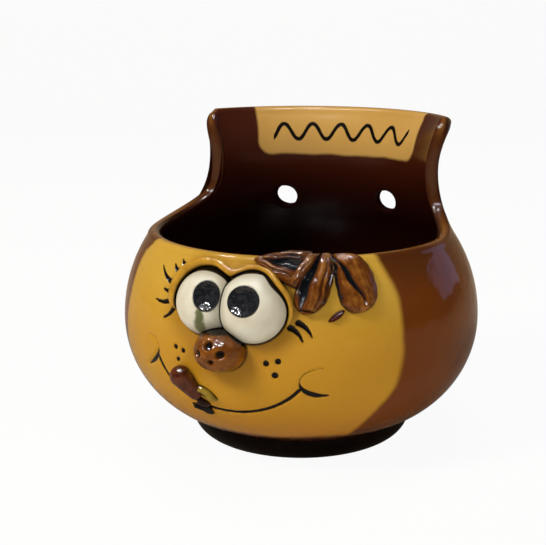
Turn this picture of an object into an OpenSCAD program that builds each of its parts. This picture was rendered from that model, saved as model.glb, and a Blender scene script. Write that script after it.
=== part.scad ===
// Salt pig: a round glazed pot with its front cut away and a comic face on its belly.
// The pot stands on the XY plane with its axis on Z. The face looks to -Y, the back wall is at +Y.
// All lengths are in millimetres and all angles in degrees.

/* [Pot] */
// Outer width of the belly at its widest
belly_d = 130; // [118:1:144]
// Height of the widest place
belly_z = 45; // [42:0.5:48]
// Outer width of the neck at its narrowest
waist_d = 99.2; // [92:0.2:106]
// Height of the whole pot
pot_h = 116; // [106:1:128]
// Height of the flare above the narrowest place
lip_h = 19; // [16:0.5:22]
// Reach of the flare out of the neck
lip_flare = 7.2; // [5.4:0.2:9]
// Height of the cut front rim
rim_z = 77; // [74:0.5:80]
// Thickness of the wall
wall = 4.4; // [3.6:0.1:5.2]
// Thickness of the floor
floor_t = 5; // [4:0.5:8]

/* [Foot] */
// Outer width of the foot, where the belly stands on it
foot_d = 81.6; // [74:0.2:88]
// Height of the foot
foot_h = 9; // [7:0.5:11]

/* [Back wall] */
// Depth of the joint between bowl and back wall under the front rim
seat_drop = 7; // [5:0.5:9]
// Distance of the left upright cut edge behind the axis
left_cut_y = 21.6; // [16:0.2:24]
// Distance of the right upright cut edge behind the axis
right_cut_y = 15.5; // [11:0.5:20]
// Reach of the left sweep from the upright edge to the rim
left_sweep_w = 33; // [26:0.5:36]
// Reach of the right sweep from the upright edge to the rim
right_sweep_w = 26; // [20:0.5:30]
// Height of the sweeps
sweep_h = 11; // [8:0.5:14]
// Rounding of the top corners
corner_r = 12; // [8:0.5:15]
// Angle through which each top corner is rounded
corner_angle = 68; // [55:1:75]
// Width of the two hanging holes
hole_d = 9; // [6:0.5:10]
// Distance between the hanging holes
hole_spacing = 42; // [34:1:50]
// Height of the hanging holes over the front rim
hole_rise = 3.4; // [2:0.2:8]

/* [Face] */
// Turn of the face from the middle of the front, minus is to the viewer's left
face_turn = -5; // [-15:1:15]
// Width of each eye
eye_w = 21.6; // [19:0.2:23]
// Reach of each eye out of the belly
eye_out = 8.6; // [7:0.2:10]
// Space between the eyes' edges, below zero where they press into each other
eye_spacing = -3.8; // [-5.6:0.2:-2.6]
// Place of the pair of eyes to the right of the face's middle
eyes_u = 1.9; // [-3:0.1:3]
// Drop from the front rim to the top of the eyes, along the belly
eye_drop = 3.1; // [2.2:0.1:4.2]
// Shift of the seam between the eyes to the left, where the right eye presses on the left one
seam_shift = 0.7; // [0.4:0.1:0.8]
// Width of each pupil
pupil_d = 10; // [8:0.2:11]
// Depth of each pupil's hollow
pupil_depth = 2.4; // [1.6:0.2:3]
// Thickness of the dark glaze in each pupil
pupil_fill = 1.5; // [1:0.1:1.6]
// Turn of the left pupil towards the nose
left_gaze = 25; // [0:1:28]
// Turn of the right pupil towards the nose
right_gaze = 11; // [0:1:28]
// Turn of both pupils upwards
up_gaze = 5; // [0:1:12]
// Width of the eyelid roll at its left end
lid_w = 3.4; // [2.8:0.1:3.8]
// Width of the eyelid roll at its right end
lid_end_w = 2; // [1.6:0.1:2.4]
// Angle about the left eye at which the eyelid roll starts
lid_start_angle = 196; // [185:1:205]
// Angle about the right eye at which the eyelid roll ends
lid_end_angle = -22; // [-30:1:-10]
// Angle about each eye at which the eyelid roll turns into the dip
lid_turn_angle = 75; // [70:1:80]
// Reach of the eyelid roll out of the belly
lid_out = 3.4; // [2:0.2:4.4]
// Gap between the eyes and the eyelid roll
lid_gap = 0.2; // [0.1:0.05:0.4]
// Width of the nose
nose_w = 17; // [14:0.5:19]
// Height of the nose
nose_h = 14.6; // [12:0.2:16]
// Reach of the nose out of the belly
nose_out = 11.4; // [9:0.2:13]
// Place of the nose under the eyes, along the belly
nose_drop = 16.6; // [15:0.2:18]
// Upward tilt of the nose
nose_tilt = 15; // [5:1:18]
// Width of each pricked pore in the nose
pore_d = 1.5; // [1:0.1:1.8]
// Depth of each pricked pore
pore_depth = 1.8; // [1:0.1:2.5]

/* [Incised lines] */
// Width of the incised lines
line_w = 1.7; // [1.2:0.1:2.2]
// Radius of the mouth line
mouth_r = 39; // [36:1:42]
// Lowest place of the mouth under the nose, along the belly
mouth_drop = 20.9; // [19:0.1:23]
// Half of the angle that the mouth line covers
mouth_angle = 44; // [36:1:46]
// Radius of the cheek lines
cheek_r = 6.8; // [5:0.2:8]
// Distance of the left cheek from the face's middle
left_cheek_u = 34.6; // [32:0.2:36]
// Distance of the right cheek from the face's middle
right_cheek_u = 32; // [30:0.2:34]
// Place of the left cheek under the nose, along the belly
left_cheek_drop = 5.2; // [3:0.2:7]
// Place of the right cheek under the nose, along the belly
right_cheek_drop = 6.8; // [4:0.2:8]
// Width of each freckle
freckle_d = 1.9; // [1.2:0.1:2.4]

/* [Forelock] */
// Place of the forelock's root to the right of the right eye's edge
root_u = 7.4; // [5.4:0.5:9.4]
// Place of the forelock's root above the front rim's rounding, along the belly
root_rise = 1.3; // [0.6:0.1:1.6]
// Length of the leaf at the right
leaf_l = 19.5; // [16:0.5:21]
// Width of the leaf at the right
leaf_w = 13.4; // [10:0.2:15]
// Thickness of the leaves
leaf_t = 3; // [2:0.2:4]

/* [Bud] */
// Length of the bud in the corner of the mouth
bud_l = 15.4; // [13:0.2:17]
// Width of the bud at its round upper end
bud_w = 9.2; // [8:0.2:10]
// Width of the bud at its narrow lower end
bud_tip_w = 4.4; // [3:0.2:5.4]
// Reach of the bud out of the belly
bud_out = 6.4; // [5.4:0.2:8]
// Distance of the bud from the face's middle
bud_u = -14.8; // [-17:0.2:-13.6]
// Place of the bud under the nose, along the belly
bud_drop = 13.7; // [13:0.1:14.6]
// Lean of the bud's upper end away from the face's middle
bud_lean = 16; // [0:1:24]

/* [Hidden] */

// Run of a cutter past the surface that it opens
overrun = 1;
// Bite of one arc of the outline into the next where they touch, and its run past that place
bite = 0.01;
bite_run = 3;
// Room between an applied piece and the belly under it
seat = 0.03;
// Thickness of an applied strip at its edge
edge_t = 0.45;
// Play of a pupil in its hollow
pupil_play = 0.05;
// Shortening of a strip's ends, as a share of its length
end_share = 0.015;
// Steps across and along the strips and round the top corners
strip_steps = 10;
corner_steps = 6;
lid_steps = 12;
lock_steps = 16;
bit_steps = 8;
full_turn = 360;
deg_per_rad = 180 / PI;
fine = 96;
soft = 48;
small = 24;

// Share of the outline between belly and waist that the belly's arc takes, the rest is the neck's
belly_share = 0.558;
// Rounding of the foot's lower edge as a share of its height
foot_edge_share = 0.94;
// Run of the back wall's toes past the sweeps
toe_run = 1.2;

// Centres of the arcs of the outline, and the places where one arc passes into the next
belly_r = belly_d / 2;
waist_r = waist_d / 2;
foot_r = foot_d / 2;
foot_edge = foot_edge_share * foot_h;
waist_z = pot_h - lip_h;
flank = belly_r - foot_r;
drop_z = belly_z - foot_h;
low_arc_r = (flank * flank + drop_z * drop_z) / (2 * flank);
low_c = belly_r - low_arc_r;
fall = belly_r - waist_r;
rise_z = waist_z - belly_z;
arc_sum = (fall * fall + rise_z * rise_z) / (2 * fall);
high_arc_r = belly_share * arc_sum;
high_c = belly_r - high_arc_r;
neck_arc_r = arc_sum - high_arc_r;
neck_c = waist_r + neck_arc_r;
lip_arc_r = (lip_flare * lip_flare + lip_h * lip_h) / (2 * lip_flare);
lip_c = waist_r + lip_arc_r;
turn_angle = asin(rise_z / arc_sum);
turn_v = high_arc_r * turn_angle / deg_per_rad;
core_r = waist_r / 2;
reach = belly_d;

// Lean of the surface at v, the length along the belly above its widest place
function lean_at(v) = v < 0 ? v / low_arc_r * deg_per_rad
    : v < turn_v ? v / high_arc_r * deg_per_rad
    : turn_angle - (v - turn_v) / neck_arc_r * deg_per_rad;
function skin_r(v) = v < 0 ? low_c + low_arc_r * cos(lean_at(v))
    : v < turn_v ? high_c + high_arc_r * cos(lean_at(v))
    : neck_c - neck_arc_r * cos(lean_at(v));
function skin_z(v) = v < 0 ? belly_z + low_arc_r * sin(lean_at(v))
    : v < turn_v ? belly_z + high_arc_r * sin(lean_at(v))
    : waist_z - neck_arc_r * sin(lean_at(v));
// Lean of the wall at a height and a depth under its outer surface, and its distance from the axis
function turn_z(depth) = belly_z + (high_arc_r - depth) * sin(turn_angle);
function wall_lean(z, depth) = z < turn_z(depth) ? asin((z - belly_z) / (high_arc_r - depth))
    : asin((waist_z - z) / (neck_arc_r + depth));
function wall_r(z, depth) = z < turn_z(depth) ? high_c + (high_arc_r - depth) * cos(wall_lean(z, depth))
    : neck_c - (neck_arc_r + depth) * cos(wall_lean(z, depth));
function rim_place(lean) = rim_c_z < turn_z(0) ? high_arc_r * lean / deg_per_rad
    : turn_v + (turn_angle - lean) * neck_arc_r / deg_per_rad;
function turn_at(u, v) = face_turn + u / skin_r(v) * deg_per_rad;

// Point on the belly, u to the viewer's right of the face's middle, v up, h out of the surface
function skin(u, v, h) = let (r = skin_r(v) + h * cos(lean_at(v)), a = turn_at(u, v))
    [r * sin(a), -r * cos(a), skin_z(v) + h * sin(lean_at(v))];

function arc_path(c, r, a0, a1, n) = [for (i = [0:n])
    let (a = a0 + (a1 - a0) * i / n)
    c + r * [cos(a), sin(a)]];
function bend_path(p, q, w, n) = [for (i = [0:n]) let (s = i / n)
    (1 - s) * (1 - s) * p + 2 * s * (1 - s) * q + s * s * w];
function unit(d) = d / norm(d);
function along(path, i) = unit(path[min(i + 1, len(path) - 1)] - path[max(i - 1, 0)]);
function across(path, i) = let (d = along(path, i)) [-d[1], d[0]];

// Share of a strip's full width at s along it: blunt 2 gives an oval, more gives a roll
function swell(s, lean, blunt) = sqrt(max(0, 1 - pow(abs(2 * pow(s, lean) - 1), blunt)));
// Share of a strip's full thickness at t across it, with folds pressed along it
function crown(t, folds, crease) = sqrt(max(0, 1 - pow(abs(t), 3)))
    * (1 - crease * (1 + cos(full_turn * folds * t)) / 2);

// Transform of a child that looks to -Y at the origin to a place on the belly
module on_skin(u, v, h) {
    translate(skin(u, v, h))
        rotate([0, 0, turn_at(u, v)])
            rotate([-lean_at(v), 0, 0])
                children();
}

// Strip of clay pressed on the belly along a path of [u, v] points
module strip(path, half_w, thick, lean = 1, blunt = 2, folds = 0, crease = 0, taper = 0) {
    n = len(path) - 1;
    m = strip_steps;
    row = m + 1;
    sheet = (n + 1) * row;
    points = [for (side = [0, 1]) for (i = [0:n]) for (j = [0:m])
        let (s = end_share + (1 - 2 * end_share) * i / n, t = 2 * j / m - 1,
             w = swell(s, lean, blunt), p = path[i] + across(path, i) * t * half_w * w * (1 - taper * s))
        skin(p[0], p[1], seat + side * (edge_t + (thick - edge_t) * sqrt(w) * crown(t, folds, crease)))];
    quads = concat(
        [for (i = [0:n - 1]) for (j = [0:m - 1])
            let (a = i * row + j)
            [a, a + row, a + row + 1, a + 1]],
        [for (i = [0:n - 1]) for (j = [0:m - 1])
            let (a = sheet + i * row + j)
            [a, a + 1, a + row + 1, a + row]],
        [for (i = [0:n - 1]) let (a = i * row) [sheet + a, sheet + a + row, a + row, a]],
        [for (i = [0:n - 1]) let (a = i * row + m) [sheet + a + row, sheet + a, a, a + row]],
        [for (j = [0:m - 1]) [sheet + j + 1, sheet + j, j, j + 1]],
        [for (j = [0:m - 1]) let (a = n * row + j) [sheet + a, sheet + a + 1, a + 1, a]]);
    faces = [for (q = quads) for (k = [0, 1]) k == 0 ? [q[0], q[1], q[2]] : [q[0], q[2], q[3]]];
    polyhedron(points, faces, convexity = 6);
}

// Round-bottomed cutter along an arc in the plane that touches the belly at its middle
module arc_cutter(r, w, a0, a1) {
    rotate([90, 0, 0])
        rotate([0, 0, a0])
            rotate_extrude(angle = a1 - a0, $fn = fine)
                translate([r, 0])
                    circle(d = w, $fn = small);
}

// Round-bottomed cutter for a straight stroke at an angle about a place, from r0 to r1
module stroke_cutter(c, a, r0, r1) {
    mid = c + (r0 + r1) / 2 * [cos(a), sin(a)];
    on_skin(mid[0], mid[1], 0)
        rotate([0, full_turn / 4 - a, 0])
            cylinder(d = line_w, h = r1 - r0, center = true, $fn = small);
}

// Half outline of the pot at a depth under its outer surface
module half_form(depth, low_z) {
    translate([0, low_z])
        square([core_r, pot_h + overrun - low_z]);
    intersection() {
        translate([low_c, belly_z])
            circle(r = low_arc_r - depth, $fn = fine);
        translate([core_r / 2, low_z])
            square([reach, belly_z - low_z]);
    }
    intersection() {
        translate([high_c, belly_z])
            circle(r = high_arc_r - depth, $fn = fine);
        translate([core_r / 2, belly_z])
            square([reach, turn_z(depth) + bite_run - belly_z]);
    }
    translate([core_r / 2, belly_z])
        square([max(high_c, core_r) - core_r / 2, turn_z(depth) + bite_run - belly_z]);
    difference() {
        translate([core_r / 2, turn_z(depth)])
            square([neck_c - core_r / 2, waist_z + bite_run - turn_z(depth)]);
        translate([neck_c, waist_z])
            circle(r = neck_arc_r + depth + bite, $fn = fine);
    }
    difference() {
        translate([core_r / 2, waist_z])
            square([lip_c - core_r / 2, pot_h + overrun - waist_z]);
        translate([lip_c, waist_z])
            circle(r = lip_arc_r + depth + 2 * bite, $fn = fine);
    }
}

module outer_half() {
    half_form(0, foot_h);
}

module wall_half() {
    difference() {
        outer_half();
        half_form(wall, foot_h + floor_t);
    }
}

// Wall with its edge rounded off: c is the middle of the rounding, a the lean of the surface there
module rounded_wall_half(c, a) {
    difference() {
        wall_half();
        translate(c)
            rotate(a)
                translate([-reach / 2, 0])
                    square([reach, reach]);
    }
    translate(c)
        circle(d = wall, $fn = fine);
}

// Turn of a child outline about the axis, centred on the back
module back_turn(angle) {
    rotate([0, 0, full_turn / 4 - angle])
        rotate_extrude(angle = 2 * angle, $fn = fine)
            children();
}

// Solid of the pot without its hollow, used to shape the backs of the applied pieces
module belly_solid() {
    rotate_extrude($fn = fine)
        outer_half();
}

// Side view of what is cut away at one side, y to the right and z up
module side_cut(cut_y, sweep_w) {
    difference() {
        translate([cut_y - reach, rim_z])
            square([reach, pot_h]);
        difference() {
            translate([cut_y - sweep_w, rim_z - overrun])
                square([sweep_w + overrun, sweep_h + overrun]);
            translate([cut_y - sweep_w, rim_z + sweep_h])
                scale([sweep_w, sweep_h])
                    circle(r = 1, $fn = fine);
        }
    }
    low = [cut_y, pot_h - corner_r];
    bow = [for (i = [0:corner_steps])
        let (a = corner_angle * i / corner_steps)
        low + corner_r * [1 - cos(a), sin(a)]];
    run = corner_r * [sin(corner_angle), cos(corner_angle)];
    open_side = [low + [-overrun, corner_r + overrun], low + [-overrun, 0]];
    polygon(concat(open_side, bow, [bow[corner_steps] + run]));
}

// Middles of the roundings of the front rim and of the lip
rim_c_z = rim_z - wall / 2;
rim_lean = wall_lean(rim_c_z, wall / 2);
rim_c = [wall_r(rim_c_z, wall / 2), rim_c_z];
top_c_z = pot_h - wall / 2;
top_lean = -asin((top_c_z - waist_z) / (lip_arc_r + wall / 2));
top_c = [lip_c - (lip_arc_r + wall / 2) * cos(top_lean), top_c_z];
seat_z = rim_z - seat_drop;
hole_z = rim_z + hole_rise;
toe_y = max(left_sweep_w - left_cut_y, right_sweep_w - right_cut_y) + toe_run;
toe_angle = full_turn / 4 + asin(toe_y / waist_r);

// Places along the belly, from the rim down
rim_v = rim_place(wall_lean(rim_c_z, 0));
root_v = rim_v + root_rise;
eyes_v = rim_v - eye_drop - eye_w / 2;
nose_v = eyes_v - nose_drop;
mouth_v = nose_v - mouth_drop;
bud_v = nose_v - bud_drop;
mouth_c = [0, mouth_v + mouth_r];
left_eye_c = [eyes_u - (eye_w + eye_spacing) / 2, eyes_v];
right_eye_c = [eyes_u + (eye_w + eye_spacing) / 2, eyes_v];

// Start and end angles of the cheek lines
left_cheek_angles = [-72, 60];
right_cheek_angles = [116, 306];
// Lashes: angle about the eye, then inner and outer reach as shares of the eye's width
left_lash_shares = [[140, 0.77, 0.89], [151, 0.77, 0.91], [161, 0.77, 1.15], [174, 0.74, 0.95],
                    [187, 0.7, 1.11], [200, 0.66, 0.9]];
right_lash_shares = [[-33, 0.64, 0.88], [-23, 0.68, 0.98]];
// Freckles: place from the nose as shares of the eye's width
freckle_shares = [[-0.87, 0], [-0.72, -0.04], [-0.83, -0.2], [0.7, -0.07], [0.88, -0.04], [0.83, -0.26]];
// Pores of the nose: place as shares of the nose's half width and half height
pore_shares = [[0, 0.42], [-0.42, 0.02], [0.42, 0.06], [0.03, -0.4]];

// The mouth line lies in a plane through its lowest place and its two corners
mouth_low = skin(0, mouth_v, 0);
mouth_u = mouth_r * sin(mouth_angle);
mouth_end_v = mouth_v + mouth_r * (1 - cos(mouth_angle));
mouth_corner = (skin(mouth_u, mouth_end_v, 0) + skin(-mouth_u, mouth_end_v, 0)) / 2;
mouth_rise = mouth_corner - mouth_low;
function from_axis(p) = norm([p[0], p[1]]);
mouth_tilt = atan2(from_axis(mouth_low) - from_axis(mouth_corner), mouth_rise[2]);
mouth_sag = norm(mouth_rise);
mouth_half = norm(skin(mouth_u, mouth_end_v, 0) - mouth_corner);
mouth_circle_r = (mouth_half * mouth_half + mouth_sag * mouth_sag) / (2 * mouth_sag);
mouth_circle_a = asin(mouth_half / mouth_circle_r);
down_a = -full_turn / 4;

module mouth_cutter() {
    translate(mouth_low)
        rotate([0, 0, face_turn])
            rotate([-mouth_tilt, 0, 0])
                translate([0, 0, mouth_circle_r])
                    arc_cutter(mouth_circle_r, line_w, down_a - mouth_circle_a, down_a + mouth_circle_a);
}

// Thrown pot up to its rim, cut down at the back to take the back wall, with the face's lines incised
module bowl() {
    color("#c8962f")
        difference() {
            rotate_extrude($fn = fine)
                rounded_wall_half(rim_c, rim_lean);
            back_turn(toe_angle)
                translate([core_r, seat_z])
                    square([reach, pot_h]);
            mouth_cutter();
            on_skin(-left_cheek_u, nose_v - left_cheek_drop, 0)
                arc_cutter(cheek_r, line_w, left_cheek_angles[0], left_cheek_angles[1]);
            on_skin(right_cheek_u, nose_v - right_cheek_drop, 0)
                arc_cutter(cheek_r, line_w, right_cheek_angles[0], right_cheek_angles[1]);
            for (q = left_lash_shares)
                stroke_cutter(left_eye_c, q[0], q[1] * eye_w, q[2] * eye_w);
            for (q = right_lash_shares)
                stroke_cutter(right_eye_c, q[0], q[1] * eye_w, q[2] * eye_w);
            for (q = freckle_shares)
                on_skin(q[0] * eye_w, nose_v + q[1] * eye_w, 0)
                    rotate([90, 0, 0])
                        cylinder(d = freckle_d, h = freckle_d, center = true, $fn = small);
        }
}

// Turned foot under the bowl, flat underneath and rounded at its edge
module foot() {
    color("#2a1710")
        rotate_extrude($fn = fine)
            intersection() {
                square([foot_r, foot_h]);
                union() {
                    translate([0, foot_edge])
                        square([foot_r, foot_h]);
                    square([foot_r - foot_edge, foot_h]);
                    translate([foot_r - foot_edge, foot_edge])
                        circle(r = foot_edge, $fn = fine);
                }
            }
}

// Back of the neck, with a flared lip, swept cut edges and two hanging holes
module back_wall() {
    color("#4a2412")
        difference() {
            back_turn(toe_angle)
                intersection() {
                    rounded_wall_half(top_c, top_lean);
                    translate([core_r, seat_z])
                        square([reach, pot_h]);
                }
            rotate([90, 0, 90])
                linear_extrude(height = reach)
                    side_cut(right_cut_y, right_sweep_w);
            rotate([90, 0, 90])
                translate([0, 0, -reach])
                    linear_extrude(height = reach)
                        side_cut(left_cut_y, left_sweep_w);
            for (side = [-1, 1])
                translate([side * hole_spacing / 2, 0, hole_z])
                    rotate([-90, 0, 0])
                        cylinder(d = hole_d, h = reach, $fn = soft);
        }
}

// Ball whose dome stands out of the belly
eye_r = (eye_w * eye_w / 4 + eye_out * eye_out) / (2 * eye_out);
eye_lift = eye_out - eye_r;
// Turn of the left ball about its own axis, which leaves its seam inside the belly
left_ball_angle = 210;

module eye_ball(c, side) {
    on_skin(c[0], c[1], eye_lift)
        rotate([0, 0, side > 0 ? 0 : left_ball_angle])
            sphere(r = eye_r, $fn = soft);
}

// Cylinder along a gaze, from a depth under the eye's surface outwards
module gaze_plug(c, a, d, depth, l) {
    on_skin(c[0], c[1], eye_lift)
        rotate([0, 0, a])
            rotate([-up_gaze, 0, 0])
                translate([0, depth - eye_r, 0])
                    rotate([90, 0, 0])
                        cylinder(d = d, h = l, $fn = soft);
}

// Dark glaze that has run into the hollow and dries with a dished face
module pupil(c, a) {
    color("#15151a")
        difference() {
            gaze_plug(c, a, pupil_d - 2 * pupil_play, pupil_depth, pupil_fill);
            on_skin(c[0], c[1], eye_lift)
                rotate([0, 0, a])
                    rotate([-up_gaze, 0, 0])
                        translate([0, pupil_depth - eye_r - pupil_fill / 2 - pupil_d, 0])
                            sphere(r = pupil_d, $fn = soft);
        }
}

// Block on one side of the upright plane between the eyes
module eye_side(side) {
    rotate([0, 0, turn_at(eyes_u - seam_shift, eyes_v)])
        translate([side > 0 ? 0 : -reach, -reach, 0])
            cube([reach, reach, pot_h]);
}

// The two eyes are domes of balls, pressed flat against each other
module eye(c, a, side) {
    color("#f1ecdc")
        difference() {
            intersection() {
                eye_ball(c, side);
                eye_side(side);
            }
            belly_solid();
            gaze_plug(c, a, pupil_d, pupil_depth, eye_out);
        }
}

module left_eye() {
    eye(left_eye_c, left_gaze, -1);
}

module right_eye() {
    eye(right_eye_c, -right_gaze, 1);
}

module left_pupil() {
    pupil(left_eye_c, left_gaze);
}

module right_pupil() {
    pupil(right_eye_c, -right_gaze);
}

// One roll of clay over both eyes, dipping between them and getting thinner to the right
module eyelid_roll() {
    n = lid_steps;
    left_r = eye_w / 2 + lid_gap + lid_w / 2;
    right_r = eye_w / 2 + lid_gap + (lid_w + 2 * lid_end_w) / 6;
    left_arc = arc_path(left_eye_c, left_r, lid_start_angle, lid_turn_angle, n);
    right_arc = arc_path(right_eye_c, right_r, full_turn / 2 - lid_turn_angle, lid_end_angle, n);
    dip = bend_path(left_arc[n], [eyes_u, left_arc[n][1] - lid_w], right_arc[0], n);
    path = concat(left_arc, [for (i = [1:n - 1]) dip[i]], right_arc);
    color("#c8962f")
        strip(path, lid_w / 2, lid_out, blunt = 10, taper = 1 - lid_end_w / lid_w);
}

// Depth of a pore's floor in the nose, under the place where it is pricked
function pore_y(q) = pore_depth - nose_out * sqrt(1 - q * q);

// Ball of brown clay with four pricked pores
module nose() {
    color("#6b3a1a")
        difference() {
            on_skin(0, nose_v, 0)
                rotate([-nose_tilt, 0, 0])
                    scale([nose_w / 2, nose_out, nose_h / 2])
                        sphere(r = 1, $fn = soft);
            belly_solid();
            eye_ball(left_eye_c, -1);
            eye_ball(right_eye_c, 1);
            for (q = pore_shares)
                on_skin(0, nose_v, 0)
                    rotate([-nose_tilt, 0, 0])
                        translate([q[0] * nose_w / 2, pore_y(q), q[1] * nose_h / 2])
                            rotate([90, 0, 0])
                                cylinder(d = pore_d, h = nose_out, $fn = small);
        }
}

// Paths of the forelock's pieces from root to tip, as shares of the leaf's length from the root
leaf_shares = [[0.2, 0.09], [0.88, -0.35], [0.7, -0.91]];
curl_shares = [[-0.09, 0.06], [0.14, -0.43], [-0.09, -0.91]];
small_curl_shares = [[-0.25, 0], [-0.34, -0.2], [-0.318, -0.344]];
pleat_shares = [[-0.41, -0.05], [-0.7, 0.13], [-1.11, 0.04]];
crumb_shares = [[0.47, -0.89], [0.39, -0.94], [0.28, -1]];
// Half widths as shares of the leaf's width
leaf_half_share = 0.47;
curl_half_share = 0.32;
small_curl_half_share = 0.135;
pleat_half_share = 0.245;
crumb_half_share = 0.095;
// Thicknesses as shares of the leaf's thickness
leaf_thick_share = 1;
curl_thick_share = 1.3;
small_curl_thick_share = 1.15;
crumb_thick_share = 0.55;
root_c = [right_eye_c[0] + eye_w / 2 + root_u, root_v];

function share_path(c, l, shares, n) =
    bend_path(c + l * shares[0], c + l * shares[1], c + l * shares[2], n);

module lock(shares, half_share, thick_share, lean = 1, blunt = 2, folds = 0, crease = 0) {
    color("#7a4316")
        strip(share_path(root_c, leaf_l, shares, lock_steps), half_share * leaf_w, thick_share * leaf_t,
              lean, blunt, folds, crease);
}

// Leaf with one deep crease at the right of the forelock
module forelock_leaf() {
    lock(leaf_shares, leaf_half_share, leaf_thick_share, lean = 1.15, blunt = 2.4, folds = 1, crease = 0.72);
}

// Broad curl in the middle of the forelock
module forelock_curl() {
    lock(curl_shares, curl_half_share, curl_thick_share, lean = 1.4, blunt = 3, folds = 1, crease = 0.6);
}

// Small curl between the broad curl and the pleated leaf
module forelock_small_curl() {
    lock(small_curl_shares, small_curl_half_share, small_curl_thick_share, blunt = 3);
}

// Leaf with pleats at the left of the forelock
module forelock_pleat() {
    lock(pleat_shares, pleat_half_share, leaf_thick_share, lean = 0.6, blunt = 2.4, folds = 1.5,
         crease = 0.5);
}

// Crumb of clay under the forelock
module forelock_crumb() {
    lock(crumb_shares, crumb_half_share, crumb_thick_share);
}

bud_c = [bud_u, bud_v];

// Half outline of the bud: a round upper end and a narrow lower end joined by their tangent
bud_r = bud_w / 2;
bud_tip_r = bud_tip_w / 2;
bud_run = bud_l - bud_r - bud_tip_r;
bud_slope = asin((bud_r - bud_tip_r) / bud_run);
bud_lift = bud_out - bud_r;
bud_dip = asin((bud_lift - bud_tip_r / 2) / bud_run);

module bud_half() {
    intersection() {
        union() {
            translate([0, bud_run / 2])
                circle(r = bud_r, $fn = soft);
            translate([0, -bud_run / 2])
                circle(r = bud_tip_r, $fn = soft);
            polygon([[0, bud_run / 2],
                     [0, -bud_run / 2],
                     [0, -bud_run / 2] + (bud_tip_r - bite) * [cos(bud_slope), -sin(bud_slope)],
                     [0, bud_run / 2] + (bud_r - bite) * [cos(bud_slope), -sin(bud_slope)]]);
        }
        translate([0, -bud_l])
            square([bud_l, 2 * bud_l]);
    }
}

// Bud held in the corner of the mouth, its narrow end down and close to the belly
module bud() {
    color("#6b3a1a")
        difference() {
            on_skin(bud_u, bud_v, (bud_lift + bud_tip_r / 2) / 2)
                rotate([0, -bud_lean, 0])
                    rotate([bud_dip, 0, 0])
                        rotate_extrude($fn = soft)
                            bud_half();
            belly_solid();
        }
}

// Paths of the bits of clay round the bud, as shares of the bud's length from its middle
stalk_shares = [[0.34, 0.02], [0.5, -0.08], [0.68, -0.2]];
upper_sepal_shares = [[0.28, -0.33], [0.38, -0.41], [0.53, -0.46]];
lower_sepal_shares = [[-0.09, -0.66], [0.34, -0.49], [0.4, -0.88]];
// Half width and thickness of these bits as shares of the bud's width
bit_half_share = 0.13;
stalk_thick_share = 0.26;
sepal_thick_share = 0.2;

module bud_bit(shares, thick_share, blunt, tint) {
    color(tint)
        strip(share_path(bud_c, bud_l, shares, bit_steps), bit_half_share * bud_w, thick_share * bud_w,
              blunt = blunt);
}

// Short stalk of yellow clay from the bud along the mouth
module bud_stalk() {
    bud_bit(stalk_shares, stalk_thick_share, 4, "#c8962f");
}

// Two dark sepals under the stalk
module bud_upper_sepal() {
    bud_bit(upper_sepal_shares, sepal_thick_share, 2, "#2c2a26");
}

module bud_lower_sepal() {
    bud_bit(lower_sepal_shares, sepal_thick_share, 2, "#2c2a26");
}

bowl();
foot();
back_wall();
left_eye();
right_eye();
left_pupil();
right_pupil();
eyelid_roll();
nose();
forelock_pleat();
forelock_small_curl();
forelock_curl();
forelock_leaf();
forelock_crumb();
bud();
bud_stalk();
bud_upper_sepal();
bud_lower_sepal();
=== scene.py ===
import math
from functools import partial
import bmesh
import bpy
import numpy as np
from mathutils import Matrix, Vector


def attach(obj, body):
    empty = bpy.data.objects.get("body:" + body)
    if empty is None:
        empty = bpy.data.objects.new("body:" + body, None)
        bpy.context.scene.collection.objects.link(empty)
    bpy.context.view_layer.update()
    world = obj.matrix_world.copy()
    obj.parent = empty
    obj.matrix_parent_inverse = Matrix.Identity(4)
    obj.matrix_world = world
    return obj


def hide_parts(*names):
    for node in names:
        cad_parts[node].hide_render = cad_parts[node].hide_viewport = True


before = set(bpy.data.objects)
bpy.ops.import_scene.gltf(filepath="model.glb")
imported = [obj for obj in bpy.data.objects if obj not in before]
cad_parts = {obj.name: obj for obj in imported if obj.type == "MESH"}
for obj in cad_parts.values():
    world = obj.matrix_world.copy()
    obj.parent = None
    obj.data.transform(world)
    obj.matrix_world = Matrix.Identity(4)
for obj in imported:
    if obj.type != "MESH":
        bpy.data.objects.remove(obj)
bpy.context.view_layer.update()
print("stage: frame loaded")

mm = 0.001
deg = math.pi / 180
far = 9           # mm, stands for a place that is far from any line, pool or edge
nearPole = 0.995  # how far the rings of a closed piece go towards its pole


def hexColour(code):
    # sRGB hex to linear light: divide by 12.92 near black, the 2.4 power above it
    c = np.array([int(code[i:i + 2], 16) for i in (0, 2, 4)]) / 255
    lin = np.where(c <= 0.04045, c / 12.92, ((c + 0.055) / 1.055) ** 2.4)
    return (*lin, 1.0)


def smooth(x):
    # 0 below 0, 1 above 1, the cubic 3x^2 - 2x^3 between
    x = np.clip(x, 0, 1)
    return x * x * (3 - 2 * x)


def bezier(points, t):
    # cubic through its first and last point, pulled by the two between
    p = np.asarray(points, float)
    t = np.asarray(t, float)[..., None]
    return (1 - t) ** 3 * p[0] + 3 * t * (1 - t) ** 2 * p[1] + 3 * t * t * (1 - t) * p[2] + t ** 3 * p[3]


def segmentDistance(u, v, a, b, wideA, wideB):
    # distance to the stretch a-b, less a half width that runs from wideA to wideB
    d = np.subtract(b, a)
    t = np.clip(((u - a[0]) * d[0] + (v - a[1]) * d[1]) / (d @ d), 0, 1)
    return np.hypot(u - a[0] - t * d[0], v - a[1] - t * d[1]) - (wideA + (wideB - wideA) * t)


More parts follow.
